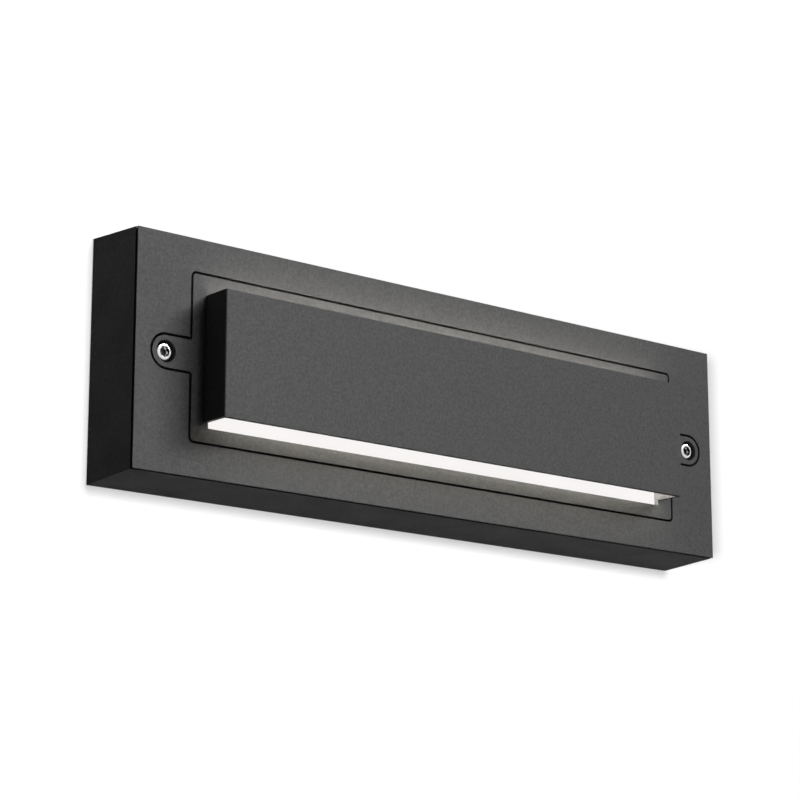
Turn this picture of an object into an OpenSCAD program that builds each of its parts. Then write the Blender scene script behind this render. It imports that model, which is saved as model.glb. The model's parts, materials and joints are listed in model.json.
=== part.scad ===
// Rectangular outdoor wall light with an up and down hood.
// X runs along the light, Y into the wall and Z up.
// The origin is the centre of the face that lies on the wall.

/* [Housing] */
// Width of the housing at its front face
front_w = 328; // [322:1:360]
// Height of the housing at its front face
front_h = 100; // [96:1:120]
// Depth of the housing, from the wall to its front face
body_d = 32.5; // [31:0.5:45]
// Thickness of the housing's side walls and front wall
wall_t = 3; // [2.4:0.1:3.8]
// Thickness of the housing's back wall
back_t = 3; // [2.6:0.1:3.6]
// How far each end leans out from front to back
draft_x = 0.6; // [0:0.1:2]
// How far the top and the bottom lean out from front to back
draft_z = 1.9; // [0:0.1:2.4]

/* [Front cover] */
// Width of the housing's face at each end of the cover plate
rim_x = 27.5; // [26:0.1:29.5]
// Height of the housing's face above and below the cover plate
rim_z = 15; // [12:0.1:16]
// Thickness of the cover plate
plate_t = 3; // [2.8:0.1:3.6]
// Shadow gap between the cover plate and the housing
plate_gap = 1.1; // [0.6:0.1:1.6]
// Radius of the cover plate's corners
corner_r = 1.5; // [0.5:0.1:3]
// Radius of the two ears
ear_r = 6.65; // [6:0.05:7.4]
// Distance from the plate's end to the screw in the ear
ear_reach = 12.6; // [10.6:0.1:12.8]
// Thickness of the ears
ear_t = 6; // [5.6:0.1:7]

/* [Hood] */
// Width of the plate's face at each end of the hood
hood_rim_x = 6.7; // [6.5:0.1:14]
// Height of the plate's face above and below the hood
hood_rim_z = 8.4; // [8:0.1:12]
// How far the hood stands out from the cover plate
hood_p = 14; // [11:0.1:20]
// Thickness of the hood's end walls
hood_side_t = 1.8; // [1.5:0.1:2.2]
// Thickness of the hood's front wall
hood_front_t = 2.3; // [1.8:0.1:3]
// Thickness of the white reflector behind the hood's front wall
reflector_t = 0.5; // [0.3:0.1:0.8]

/* [Diffuser] */
// Thickness of the opal diffuser
pane_t = 3; // [2.5:0.1:3.4]
// How far the diffuser reaches past the window at each end
pane_lap_x = 3.4; // [3.2:0.1:3.8]
// How far the diffuser reaches past the window above and below
pane_lap_z = 3.4; // [3.2:0.1:4]
// Gap between the light tray and the driver behind it
driver_gap = 1.3; // [1:0.1:2.5]

/* [Light engine] */
// Room between the window's end and the end of the diodes' board
board_room_x = 6.7; // [5:0.1:16]
// Room between the window's edge and the long edge of the diodes' board
board_room_z = 7.6; // [6.6:0.1:10]
// Number of diodes in each row
led_count = 14; // [8:1:18]
// Distance between the two rows of diodes
led_row_gap = 20; // [14:1:26]

/* [Supply] */
// Length of the driver's case
driver_w = 150; // [130:1:156]
// Height of the driver's case
driver_h = 38; // [34:1:44]
// Thickness of the driver's case
driver_t = 9.6; // [9.2:0.1:11]
// Number of poles of the terminal block
pole_count = 3; // [3:1:4]
// Distance between the poles of the terminal block
pole_pitch = 8.2; // [7.6:0.1:8.6]

/* [Fixing] */
// Distance between the two wall slots
slot_pitch = 200; // [194:1:216]
// Length of a wall slot from end to end
slot_len = 14; // [8:0.5:16]
// Width of a wall slot
slot_w = 5.5; // [4.5:0.1:6.5]
// Radius of the cable that the grommet takes
cable_r = 4; // [3:0.1:5]

/* [Hidden] */

// Overrun of every cut
cut = 1;
// Points in a quarter of a drawn arc
arc_steps = 8;
// Facets of bores, pins and screws
round_fn = 48;

// Colours
graphite = [0.10, 0.10, 0.105];
rubber_black = [0.04, 0.04, 0.04];
steel = [0.75, 0.75, 0.75];
brass = [0.80, 0.66, 0.36];
opal = [1.00, 0.99, 0.96];
coated_white = [0.93, 0.93, 0.92];
mill_finish = [0.72, 0.73, 0.75];
board_white = [0.95, 0.95, 0.93];
board_green = [0.10, 0.35, 0.20];
case_white = [0.85, 0.85, 0.83];
nylon = [0.90, 0.89, 0.84];

// Clearances
seat_gap = 0.3;
slide_gap = 0.3;
thread_gap = 0.05;
hole_gap = 0.25;
plug_gap = 0.3;

// Recesses in the small screws' heads, as shares of the head's radius
recess_w_share = 0.3;
recess_l_share = 1.3;

// Housing
front_y = -body_d;
plate_w = front_w - 2 * rim_x;
plate_h = front_h - 2 * rim_z;
in_hw = front_w / 2 - wall_t;
in_hh = front_h / 2 - wall_t;
edge_slab = 0.2;
edge_chamfer = 0.6;
collar_t = 2.5;
ledge_t = 2.5;
gasket_t = 1;
ledge_y = front_y + plate_t + gasket_t;
ear_floor_y = front_y + ear_t;
ear_floor_t = 2;
screw_x = plate_w / 2 + ear_reach;
pillar_r = 5;

// Cover screws, M4 with a button head
screw_r = 2;
head_r = 3.8;
head_h = 2.2;
head_rim_h = 0.5;
head_sink = 1;
head_well_r = 4.7;
seal_t = 1;
seal_r = 4.5;
socket_r = 2.1;
socket_lobe_share = 0.14;
socket_d = 1.4;
socket_steps = 48;
head_y = front_y + head_sink;
under_head_y = head_y + head_h;
seal_back_y = under_head_y + seal_t;
shank_l = 12;
shank_end_y = under_head_y + shank_l;
thread_room = 2;

// Hood
hood_y = front_y - hood_p;
hood_w = plate_w - 2 * hood_rim_x;
hood_h = plate_h - 2 * hood_rim_z;

// Diffuser and its seat
lip_t = 2;
window_over = 2.4;
pane_gasket_t = 0.5;
notch_x = 2.4;
notch_z = 5.3;
window_w = hood_w - 2 * hood_side_t;
window_h = hood_h + 2 * window_over;
pane_w = window_w + 2 * pane_lap_x;
pane_h = window_h + 2 * pane_lap_z;
lip_y = front_y + lip_t;
pane_y = lip_y + pane_gasket_t;
pane_back_y = pane_y + pane_t;

// Tray behind the diffuser
tray_wall_t = 1.2;
tray_floor_t = 1.5;
pad_t = 0.3;
board_t = 1;
flange_t = 1.5;
flange_y = pane_back_y + flange_t;
tray_boss_r = 2.2;
tray_screw_r = 1.25;
tray_head_r = 2.2;
tray_head_h = 1.6;
tray_thread_l = 2.4;
tray_bore_l = 3;
boss_x = pane_w / 2 - notch_x + tray_boss_r + seat_gap;
boss_z = pane_h / 2 - notch_z + tray_boss_r + seat_gap;
tray_back_y = -back_t - driver_t - driver_gap;
tray_y = tray_back_y - tray_floor_t;
board_back_y = tray_y - pad_t;
board_y = board_back_y - board_t;

// Opening in the housing's ledge, which the tray passes through
tray_gap_x = 0.8;
tray_gap_z = 0.9;
open_w = 2 * (boss_x + tray_boss_r + seat_gap + tray_gap_x);
open_h = 2 * (boss_z + tray_boss_r + seat_gap + tray_gap_z);

// Diodes and their board
board_w = window_w - 2 * board_room_x;
board_h = window_h - 2 * board_room_z;
led_w = 3.5;
led_h = 2.8;
led_t = 0.8;
led_lens_t = 0.15;
led_lens_inset = 0.4;
led_margin = 10;
led_pitch = (board_w - 2 * led_margin) / (led_count - 1);

// Board screws
board_screw_r = 1.25;
board_head_r = 2.2;
board_head_h = 1.4;
board_thread_l = 0.4;
board_screw_xs_share = [-0.42, -0.15, 0.15, 0.42];

// Connector between the light unit and the driver
plug_w = 7;
plug_h = 9;
socket_wall = 1.6;
plug_margin = 0.7;
socket_x = board_w / 2 - plug_margin - plug_w / 2;
socket_z = 0;
socket_deep = 6;
socket_floor = 2.4;
socket_front_y = -back_t - socket_floor - socket_deep;
plug_tip_y = -back_t - socket_floor - slide_gap;
socket_lead_y = -back_t - socket_floor / 2;
socket_foot_z = socket_z - plug_h / 2 - plug_gap - socket_wall;
pin_r = 0.5;
pin_l = 3;
pin_pitch = 4;

// Driver
case_t = 1;
lid_t = 0.8;
ear_w = 7;
ear_h = 12;
tab_t = 1.5;
tab_boss_r = 3.5;
tab_boss_h = 3;
tab_x = driver_w / 2 + ear_w / 2;
tab_boss_y = -back_t - tab_boss_h;
tab_y = tab_boss_y - tab_t;
driver_y = -back_t - driver_t;
driver_screw_r = 1.5;
driver_head_r = 2.8;
driver_head_h = 2;
driver_thread_l = 4;
driver_bore_l = 4.6;
pcb_t = 1;
pcb_lift = 0.6;
pcb_inset = 1.5;
pcb_post = 3;
pcb_y = -back_t - case_t - pcb_lift;
part_room = driver_t - case_t - lid_t - pcb_lift - pcb_t;
part_clear = 0.2;
core_w = 16;
core_h = 14;
bobbin_w = 9;
bobbin_h = 18;
bobbin_share = 0.8;
capacitor_l = 12;
capacitor_r = (part_room - part_clear) / 2;
capacitor_xs_share = [-0.36, -0.22, 0.26, 0.38];
capacitor_z_share = 0.18;

// Terminal block
block_w = 16;
block_t = 13;
block_end = 1.6;
block_l = pole_count * pole_pitch + 2 * block_end;
block_side_room = 6;
block_x = -(in_hw - block_w / 2 - block_side_room);
block_z = (pillar_r + in_hh) / 2;
pole_wall = 3.2;
clamp_s = pole_pitch - pole_wall;
clamp_bore_r = 1.2;
clamp_inset = 1;
clamp_drop = 5.5;
clamp_screw_r = 1.3;
clamp_head_r = 1.7;
clamp_well_r = 2;
clamp_screw_offset = 3.6;
clamp_screw_top = 1;
block_screw_r = 1.25;
block_head_r = 2.1;
block_head_h = 1.5;
block_screw_l = 1.8;
block_screw_sink = 5;
block_y = -back_t - block_t;
block_seat_y = block_y + block_screw_sink;
clamp_y = block_y + clamp_drop + clamp_s / 2;

// Earth connection
earth_x = block_x;
earth_room = 4;
earth_boss_r = 4.5;
earth_boss_h = 4;
earth_screw_r = 2;
earth_head_r = 3.6;
earth_head_h = 2.6;
earth_thread_l = 5;
earth_bore_l = 5.6;
tag_t = 0.8;
tag_r = 4;
tag_neck = 8;
tag_neck_w = 3;
tag_barrel_r = 1.5;
tag_barrel_l = 5;
earth_z = -(pillar_r + earth_room + tag_barrel_l + tag_neck);
earth_boss_y = -back_t - earth_boss_h;
tag_y = earth_boss_y - tag_t;

// Cable entries
entry_r = 10;
entry_flange_r = 12;
entry_block_gap = 9;
entry_edge_room = 11;
entry_x = block_x + block_w / 2 + entry_block_gap + entry_flange_r;
entry_z = in_hh - entry_edge_room - entry_flange_r;
entry_flange_t = 2;
entry_nose_r = 8;
entry_tip_r = 6;
entry_nose_l = 4;
entry_skin = 0.3;
entry_fit = 0.1;

// Leads
lead_r = 0.9;
lead_sides = 8;
lead_steps = 4;
lead_lift = 0.6;
lead_y = -(back_t + entry_flange_t + lead_lift + lead_r);
lead_in = 4;
lead_pitch = 3.2;

// Points of an arc around a centre, from one angle to another
function arc(x, z, r, from, to, steps) = [for (i = [0 : steps])
    let (a = from + (to - from) * i / steps) [x + r * cos(a), z + r * sin(a)]];

// One corner point or corner arc of a rounded outline
function corner(x, z, r, from) = arc(x, z, r, from, from + 90, arc_steps);

// Outline of the cover plate with its ears, grown on every side
function plate_points(grow) = let (
        hw = plate_w / 2 + grow,
        hh = plate_h / 2 + grow,
        er = ear_r + grow,
        cr = corner_r + grow) concat(
    corner(hw - cr, hh - cr, cr, 0),
    corner(-hw + cr, hh - cr, cr, 90),
    [[-hw, er]],
    arc(-screw_x, 0, er, 90, 270, 3 * arc_steps),
    [[-hw, -er]],
    corner(-hw + cr, -hh + cr, cr, 180),
    corner(hw - cr, -hh + cr, cr, 270),
    [[hw, -er]],
    arc(screw_x, 0, er, -90, 90, 3 * arc_steps),
    [[hw, er]]);

// Outline of one ear, grown on its round side, from a given distance off the middle
function ear_points(grow, near) = let (er = ear_r + grow) concat(
    [[near, -er]],
    arc(screw_x, 0, er, -90, 90, 3 * arc_steps),
    [[near, er]]);

// Outline of the diffuser, a rectangle with its corners notched
function notched_points(grow) = let (
        hw = pane_w / 2 + grow,
        hh = pane_h / 2 + grow,
        nx = pane_w / 2 - notch_x + grow,
        nz = pane_h / 2 - notch_z + grow) [
    [hw, -nz], [hw, nz], [nx, nz], [nx, hh], [-nx, hh], [-nx, nz], [-hw, nz],
    [-hw, -nz], [-nx, -nz], [-nx, -hh], [nx, -hh], [nx, -nz]];

// Outline of the Torx-like socket, six soft lobes
function socket_points() = [for (i = [0 : socket_steps - 1])
    let (a = 360 * i / socket_steps, r = socket_r * (1 + socket_lobe_share * (cos(6 * a) - 1)))
    [r * cos(a), r * sin(a)]];

// Points on a smooth curve through a route
function knot(route, i) = route[max(0, min(len(route) - 1, i))];
function between(a, b, c, d, t) = (2 * b + (c - a) * t + (2 * a - 5 * b + 4 * c - d) * t * t
    + (3 * b - a - 3 * c + d) * t * t * t) / 2;
function smooth(route) = concat([for (i = [0 : len(route) - 2], k = [0 : lead_steps - 1])
    between(knot(route, i - 1), route[i], route[i + 1], knot(route, i + 2), k / lead_steps)],
    [route[len(route) - 1]]);
function unit(v) = v / norm(v);

// A slab in the XZ plane from one depth to another, drawn from its outline
module slab(points, y0, y1) {
    translate([0, y1, 0]) rotate([90, 0, 0]) linear_extrude(y1 - y0) polygon(points);
}

// A box centred on X and Z, from one depth to another
module block(w, h, y0, y1, x = 0, z = 0) {
    translate([x - w / 2, y0, z - h / 2]) cube([w, y1 - y0, h]);
}

// A cylinder along Y from one depth to another
module rod(r, y0, y1, x = 0, z = 0) {
    translate([x, y1, z]) rotate([90, 0, 0]) cylinder(r = r, h = y1 - y0, $fn = round_fn);
}

// A cylinder along X
module rod_x(r, x0, x1, y, z) {
    translate([x0, y, z]) rotate([0, 90, 0]) cylinder(r = r, h = x1 - x0, $fn = round_fn);
}

// A round lead swept along a smooth route
module lead(route) {
    path = smooth(route);
    n = len(path);
    rings = [for (i = [0 : n - 1]) let (
            t = unit(path[min(n - 1, i + 1)] - path[max(0, i - 1)]),
            u = unit(cross(t, [0, 1, 0])),
            v = cross(t, u))
        for (k = [0 : lead_sides - 1])
            path[i] + lead_r * (cos(360 * k / lead_sides) * u + sin(360 * k / lead_sides) * v)];
    sides = [for (i = [0 : n - 2], k = [0 : lead_sides - 1]) let (
            a = i * lead_sides + k,
            b = i * lead_sides + (k + 1) % lead_sides)
        [a, b, b + lead_sides, a + lead_sides]];
    start = [[for (k = [lead_sides - 1 : -1 : 0]) k]];
    finish = [[for (k = [0 : lead_sides - 1]) (n - 1) * lead_sides + k]];
    polyhedron(rings, concat(start, sides, finish), convexity = 4);
}

// A single slot and a cross recess in a screw's head
module slot_recess(r, y0, y1) {
    block(2 * r + cut, recess_w_share * r, y0, y1);
}

module cross_recess(r, y0, y1) {
    for (turn = [0, 90]) rotate([0, turn, 0]) block(recess_l_share * r, recess_w_share * r, y0, y1);
}

// Places its children at both ends of the light
module both_ends(x) {
    for (side = [-1, 1]) translate([side * x, 0, 0]) children();
}

// Places its children at the four corners
module four_corners(x, z) {
    for (sx = [-1, 1], sz = [-1, 1]) translate([sx * x, 0, sz * z]) children();
}

// Places its children at the diodes' board screws
module board_places() {
    for (share = board_screw_xs_share) translate([share * board_w, 0, 0]) children();
}

// Places its children at the terminal block's two fixing screws, between the poles
module block_places() {
    for (side = [-1, 1])
        translate([block_x, 0, block_z + side * (pole_count - 2) * pole_pitch / 2]) children();
}

// Blank of the housing, leaning out towards the wall, with its front edge eased
module housing_blank() {
    hull() {
        block(front_w - 2 * edge_chamfer, front_h - 2 * edge_chamfer, front_y, front_y + edge_slab);
        block(front_w, front_h, front_y + edge_chamfer, front_y + edge_chamfer + edge_slab);
        block(front_w + 2 * draft_x, front_h + 2 * draft_z, -edge_slab, 0);
    }
}

// Collar, ledge and ear pillars that carry the front cover
module housing_seat() {
    slab(plate_points(plate_gap + collar_t), front_y + wall_t / 2, ledge_y + ledge_t);
    for (side = [0, 1]) mirror([side, 0, 0])
        slab(ear_points(plate_gap + collar_t, open_w / 2), ledge_y, ear_floor_y + ear_floor_t);
    both_ends(screw_x) rod(pillar_r, ear_floor_y, -back_t / 2);
}

module wall_slot() {
    block(slot_len - slot_w, slot_w, -back_t - cut, cut);
    both_ends((slot_len - slot_w) / 2) rod(slot_w / 2, -back_t - cut, cut);
}

module housing() {
    color(graphite) difference() {
        union() {
            difference() {
                housing_blank();
                block(2 * in_hw, 2 * in_hh, front_y + wall_t, -back_t);
            }
            housing_seat();
            both_ends(tab_x) rod(tab_boss_r, tab_boss_y, -back_t / 2);
            rod(earth_boss_r, earth_boss_y, -back_t / 2, earth_x, earth_z);
        }
        slab(plate_points(plate_gap), front_y - cut, ledge_y);
        block(open_w, open_h, front_y - cut, ledge_y + ledge_t + cut);
        for (side = [0, 1]) mirror([side, 0, 0])
            slab(ear_points(plate_gap, plate_w / 2), front_y - cut, ear_floor_y);
        both_ends(screw_x) rod(screw_r + thread_gap, ear_floor_y - cut, shank_end_y + thread_room);
        both_ends(tab_x) rod(driver_screw_r + thread_gap, tab_boss_y - cut, tab_boss_y + driver_bore_l);
        rod(earth_screw_r + thread_gap, earth_boss_y - cut, earth_boss_y + earth_bore_l, earth_x, earth_z);
        both_ends(slot_pitch / 2) wall_slot();
        for (sz = [-1, 1]) rod(entry_r, -back_t - cut, cut, entry_x, sz * entry_z);
        block_places() rod(block_screw_r + thread_gap, -back_t - cut, -back_t + block_screw_l + thread_gap);
    }
}

module grommet_body() {
    rod(entry_r - entry_fit, -back_t, -entry_skin);
    rod(entry_flange_r, -back_t - entry_flange_t, -back_t);
    translate([0, -back_t - entry_flange_t, 0]) rotate([90, 0, 0])
        cylinder(r1 = entry_nose_r, r2 = entry_tip_r, h = entry_nose_l, $fn = round_fn);
}

module cable_grommet() {
    color(rubber_black) translate([entry_x, 0, entry_z]) difference() {
        grommet_body();
        rod(cable_r, -back_t - entry_flange_t - entry_nose_l - cut, cut);
    }
}

module spare_grommet() {
    color(rubber_black) translate([entry_x, 0, -entry_z]) difference() {
        grommet_body();
        rod(cable_r, -back_t - entry_flange_t, cut);
    }
}

// Height of each pole of the terminal block
function pole_z(i) = block_z + (i - (pole_count - 1) / 2) * pole_pitch;

// Square bar of a given length through one pole
module clamp_bar(length, i) {
    block(length, clamp_s, clamp_y - clamp_s / 2, clamp_y + clamp_s / 2, block_x, pole_z(i));
}

module terminal_block() {
    color(case_white) difference() {
        block(block_w, block_l, block_y, -back_t, block_x, block_z);
        for (i = [0 : pole_count - 1]) {
            clamp_bar(block_w + 2 * cut, i);
            for (side = [-1, 1])
                rod(clamp_well_r, block_y - cut, clamp_y, block_x + side * clamp_screw_offset, pole_z(i));
        }
        block_places() {
            rod(block_screw_r + hole_gap, block_y - cut, cut);
            rod(block_head_r + hole_gap, block_y - cut, block_seat_y);
        }
    }
}

module terminal_clamps() {
    color(brass) for (i = [0 : pole_count - 1]) difference() {
        clamp_bar(block_w - 2 * clamp_inset, i);
        rod_x(clamp_bore_r, block_x - block_w, block_x + block_w, clamp_y, pole_z(i));
        for (side = [-1, 1]) rod(clamp_screw_r + thread_gap, clamp_y - clamp_s, clamp_y,
            block_x + side * clamp_screw_offset, pole_z(i));
    }
}

module terminal_screws() {
    tip_y = clamp_y - lead_r;
    head_y0 = block_y + clamp_screw_top;
    color(steel) for (i = [0 : pole_count - 1], side = [-1, 1])
        translate([block_x + side * clamp_screw_offset, 0, pole_z(i)]) difference() {
            union() {
                rod(clamp_screw_r, head_y0, tip_y);
                rod(clamp_head_r, head_y0, clamp_y - clamp_s / 2 - seat_gap);
            }
            slot_recess(clamp_head_r, head_y0 - cut, head_y0 + clamp_head_r / 2);
        }
}

module block_screws() {
    head_y0 = block_seat_y - block_head_h;
    color(steel) block_places() difference() {
        union() {
            rod(block_screw_r, head_y0, -back_t + block_screw_l);
            rod(block_head_r, head_y0, block_seat_y);
        }
        slot_recess(block_head_r, head_y0 - cut, block_seat_y - block_head_h / 2);
    }
}

// Ring tag on the earth boss, its barrel pointing to the terminal block
module earth_tag() {
    color(steel) translate([earth_x, 0, earth_z]) difference() {
        union() {
            rod(tag_r, tag_y, tag_y + tag_t);
            block(tag_neck_w, tag_neck, tag_y, tag_y + tag_t, 0, tag_neck / 2);
            translate([0, tag_y + tag_t - tag_barrel_r, tag_neck - cut / 4])
                cylinder(r = tag_barrel_r, h = tag_barrel_l, $fn = round_fn);
        }
        rod(earth_screw_r + hole_gap, tag_y - cut, tag_y + tag_t + cut);
        translate([0, tag_y + tag_t - tag_barrel_r, tag_neck])
            cylinder(r = lead_r + entry_fit, h = tag_barrel_l + cut, $fn = round_fn);
    }
}

module earth_screw() {
    color(steel) translate([earth_x, 0, earth_z]) difference() {
        union() {
            rod(earth_screw_r, tag_y - cut, earth_boss_y + earth_thread_l);
            rod(earth_head_r, tag_y - earth_head_h, tag_y);
        }
        cross_recess(earth_head_r, tag_y - earth_head_h - cut, tag_y - earth_head_h / 2);
    }
}

module driver_case() {
    color(case_white) difference() {
        union() {
            difference() {
                block(driver_w, driver_h, driver_y + lid_t, -back_t);
                block(driver_w - 2 * case_t, driver_h - 2 * case_t, driver_y - cut, -back_t - case_t);
            }
            four_corners(driver_w / 2 - case_t - pcb_post / 2, driver_h / 2 - case_t - pcb_post / 2)
                block(pcb_post, pcb_post, pcb_y, -back_t - case_t / 2);
            both_ends(tab_x - case_t / 4) block(ear_w + case_t / 2, ear_h, tab_y, tab_boss_y);
        }
        both_ends(tab_x) rod(driver_screw_r + hole_gap, tab_y - cut, tab_boss_y + cut);
        for (i = [0, 1]) {
            translate([input_x(i), lead_y, driver_h / 2 - lead_in])
                cylinder(r = lead_r + entry_fit, h = lead_in + cut, $fn = round_fn);
            rod_x(lead_r + entry_fit, driver_w / 2 - lead_in, driver_w, lead_y, output_z(i));
        }
    }
}

module driver_lid() {
    color(case_white) block(driver_w, driver_h, driver_y, driver_y + lid_t);
}

module driver_board() {
    color(board_green) block(driver_w - 2 * case_t - pcb_inset, driver_h - 2 * case_t - pcb_inset,
        pcb_y - pcb_t, pcb_y);
}

module driver_transformer() {
    top_y = pcb_y - pcb_t;
    tall = part_room - part_clear;
    color(rubber_black) {
        block(core_w, core_h, top_y - tall, top_y);
        block(bobbin_w, bobbin_h, top_y - bobbin_share * tall, top_y);
    }
}

module driver_capacitors() {
    top_y = pcb_y - pcb_t;
    color(mill_finish) for (share = capacitor_xs_share)
        translate([share * driver_w, top_y - capacitor_r, -capacitor_z_share * driver_h])
            cylinder(r = capacitor_r, h = capacitor_l, $fn = round_fn);
}

module driver_screws() {
    color(steel) both_ends(tab_x) difference() {
        union() {
            rod(driver_screw_r, tab_y - driver_head_h, tab_boss_y + driver_thread_l);
            rod(driver_head_r, tab_y - driver_head_h, tab_y);
        }
        cross_recess(driver_head_r, tab_y - driver_head_h - cut, tab_y - driver_head_h / 2);
    }
}

module led_socket() {
    color(nylon) difference() {
        block(plug_w + 2 * (plug_gap + socket_wall), plug_h + 2 * (plug_gap + socket_wall),
            socket_front_y, -back_t, socket_x, socket_z);
        block(plug_w + 2 * plug_gap, plug_h + 2 * plug_gap, socket_front_y - cut,
            socket_front_y + socket_deep, socket_x, socket_z);
        for (side = [-1, 1]) translate([socket_x + side * pin_pitch / 2, socket_lead_y, socket_foot_z - cut])
            cylinder(r = lead_r + entry_fit, h = cut + socket_wall, $fn = round_fn);
    }
}

// Places along the driver's top where the supply leads enter it, and heights at its end for the output
output_rows_share = [-0.37, -0.25];
function input_x(i) = -driver_w / 2 + pcb_post + lead_in + i * lead_pitch;
function output_z(i) = output_rows_share[i] * driver_h;

// Routes of the leads, chosen by hand
block_side_x = block_x + block_w / 2;
bend = 6;
module supply_lead(pole, i) {
    z = pole_z(pole);
    x = input_x(i);
    z_high = entry_z + entry_flange_r + bend - (1 - i) * lead_pitch;
    lead([
        [block_side_x - lead_in, clamp_y, z],
        [block_side_x + bend / 3, clamp_y, z],
        [block_side_x + bend, clamp_y, (z + z_high) / 2],
        [entry_x - entry_nose_r, lead_y, z_high],
        [entry_x + entry_nose_r, lead_y, z_high],
        [x - bend, lead_y, z_high],
        [x - bend / 4, lead_y, z_high - bend / 4],
        [x, lead_y, z_high - bend],
        [x, lead_y, driver_h / 2 + lead_in / 2],
        [x, lead_y, driver_h / 2 - case_t]]);
}

module live_lead() {
    color("saddlebrown") supply_lead(pole_count - 1, 1);
}

module neutral_lead() {
    color("royalblue") supply_lead(pole_count - 2, 0);
}

module earth_lead() {
    barrel_y = tag_y + tag_t - tag_barrel_r;
    z_top = pole_z(0) - bend / 2;
    z_end = earth_z + tag_neck + tag_barrel_l;
    color("yellowgreen") lead([
        [block_side_x - lead_in, clamp_y, pole_z(0)],
        [block_side_x + bend / 3, clamp_y, pole_z(0)],
        [block_side_x + bend / 2, clamp_y, z_top],
        [block_side_x + bend / 2, barrel_y, (2 * z_top + z_end) / 3],
        [block_side_x + bend / 4, barrel_y, (z_top + 2 * z_end) / 3],
        [earth_x + bend / 3, barrel_y, z_end + bend / 2],
        [earth_x, barrel_y, z_end],
        [earth_x, barrel_y, z_end - tag_barrel_l + entry_fit]]);
}

module output_leads() {
    color("firebrick") for (i = [0, 1]) {
        x0 = driver_w / 2;
        x1 = socket_x + (1 - 2 * i) * pin_pitch / 2;
        z = output_z(i);
        lead([
            [x0 - case_t, lead_y, z],
            [x0 + lead_in / 2, lead_y, z],
            [(x0 + lead_in / 2 + x1 - bend) / 2, (lead_y + socket_lead_y) / 2, z],
            [x1 - bend, socket_lead_y, z],
            [x1 - bend / 4, socket_lead_y, z + bend / 4],
            [x1, socket_lead_y, socket_foot_z - lead_in / 2],
            [x1, socket_lead_y, socket_foot_z + socket_wall / 2]]);
    }
}

// Front cover, one casting: plate with ears, hood and the bosses behind it
module hood_walls() {
    difference() {
        block(hood_w, hood_h, hood_y, front_y + plate_t / 2);
        block(hood_w - 2 * hood_side_t, hood_h + 2 * cut, hood_y + hood_front_t, front_y + plate_t);
    }
}

module front_cover() {
    color(graphite) difference() {
        union() {
            slab(plate_points(0), front_y, front_y + plate_t);
            for (side = [0, 1]) mirror([side, 0, 0])
                slab(ear_points(0, plate_w / 2 + plate_gap), front_y + plate_t / 2, ear_floor_y);
            four_corners(boss_x, boss_z) rod(tray_boss_r, front_y + plate_t / 2, pane_back_y);
            hood_walls();
        }
        // The window ends level with the hood's top, so none of it shows past the hood from below
        translate([0, 0, -window_over / 2])
            block(window_w, window_h - window_over, front_y - cut / 2, front_y + plate_t + cut);
        slab(notched_points(seat_gap), lip_y, front_y + plate_t + cut);
        both_ends(screw_x) {
            rod(head_well_r, front_y - cut, seal_back_y);
            rod(screw_r + hole_gap, front_y, ear_floor_y + cut);
        }
        four_corners(boss_x, boss_z)
            rod(tray_screw_r + thread_gap, pane_back_y - tray_bore_l, pane_back_y + cut);
    }
}

module cover_gasket() {
    inset = seat_gap;
    color(rubber_black) difference() {
        block(plate_w - 2 * inset, plate_h - 2 * inset, front_y + plate_t, ledge_y);
        block(open_w, open_h, front_y, ledge_y + cut);
    }
}

module hood_reflector() {
    color(coated_white) block(hood_w - 2 * hood_side_t, hood_h - 2 * seat_gap,
        hood_y + hood_front_t, hood_y + hood_front_t + reflector_t);
}

module pane_gasket() {
    color(rubber_black) difference() {
        slab(notched_points(0), lip_y, pane_y);
        block(window_w + seat_gap, window_h + seat_gap, lip_y - cut, pane_y + cut);
    }
}

module diffuser() {
    color(opal) slab(notched_points(0), pane_y, pane_back_y);
}

module light_tray() {
    grow = -seat_gap;
    color(coated_white) difference() {
        union() {
            slab(notched_points(grow), pane_back_y, tray_back_y);
            four_corners(boss_x, boss_z) rod(tray_boss_r + seat_gap, pane_back_y, flange_y);
            four_corners(boss_x - tray_boss_r, boss_z - tray_boss_r / 2)
                block(2 * tray_boss_r, tray_boss_r, pane_back_y, flange_y);
        }
        block(pane_w - 2 * (tray_wall_t - grow), pane_h - 2 * (tray_wall_t + notch_z - grow),
            pane_back_y - cut, tray_y);
        block(pane_w - 2 * (tray_wall_t + notch_x - grow), pane_h - 2 * (tray_wall_t - grow),
            pane_back_y - cut, tray_y);
        four_corners(boss_x, boss_z) rod(tray_screw_r + hole_gap, pane_back_y - cut, flange_y + cut);
        board_places() rod(board_screw_r + thread_gap, tray_y - cut, tray_back_y + cut);
        block(plug_w + plug_gap, plug_h + plug_gap, tray_y - cut, tray_back_y + cut, socket_x, socket_z);
    }
}

module tray_screws() {
    color(steel) four_corners(boss_x, boss_z) difference() {
        union() {
            rod(tray_screw_r, pane_back_y - tray_thread_l, flange_y + tray_head_h);
            rod(tray_head_r, flange_y, flange_y + tray_head_h);
        }
        cross_recess(tray_head_r, flange_y + tray_head_h / 2, flange_y + tray_head_h + cut);
    }
}

module thermal_pad() {
    color("lightgray") difference() {
        block(board_w, board_h, board_back_y, tray_y);
        board_places() rod(board_screw_r + hole_gap, board_back_y - cut, tray_y + cut);
        block(plug_w + plug_gap, plug_h + plug_gap, board_back_y - cut, tray_y + cut, socket_x, socket_z);
    }
}

module led_board() {
    color(board_white) difference() {
        block(board_w, board_h, board_y, board_back_y);
        board_places() rod(board_screw_r + hole_gap, board_y - cut, board_back_y + cut);
    }
}

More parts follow.
